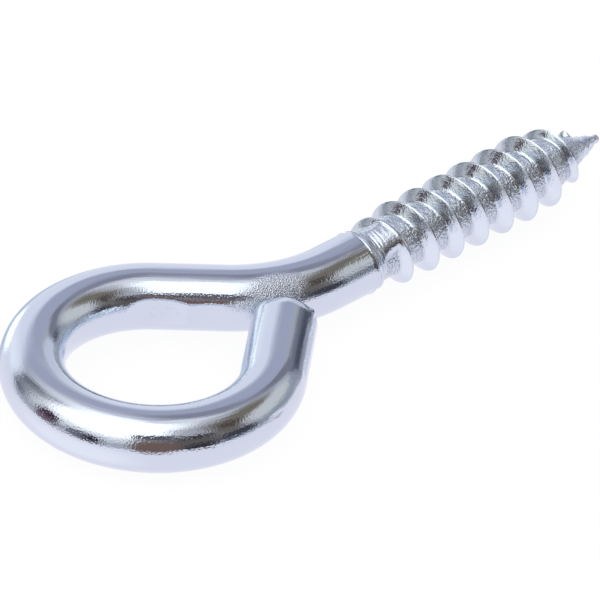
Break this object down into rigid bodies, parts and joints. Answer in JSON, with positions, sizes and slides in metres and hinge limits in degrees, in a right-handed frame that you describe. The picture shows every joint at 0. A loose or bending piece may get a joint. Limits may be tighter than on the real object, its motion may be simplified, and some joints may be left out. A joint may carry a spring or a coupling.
{
  "type": "screw eye",
  "caption": "Screw eye of bent steel wire: a closed, unwelded eye on a short neck, a smooth shank and a rolled wood-screw thread that ends in a gimlet point.",
  "frame": {"origin": "centre of the eye, in the middle plane of the wire", "axes": "+X from the eye along the shank to the point, +Y towards the side where the wire bends from the shank into the eye, +Z square to the plane of the eye"},
  "size_m": [0.058, 0.0228, 0.0064],
  "materials": {
    "zinc_plated_steel": "bright blue-white zinc plating, smooth on the wire and rough in the root of the thread"
  },
  "bodies": {
    "root": {"screw_eye": "zinc_plated_steel"}
  },
  "joints": []
}
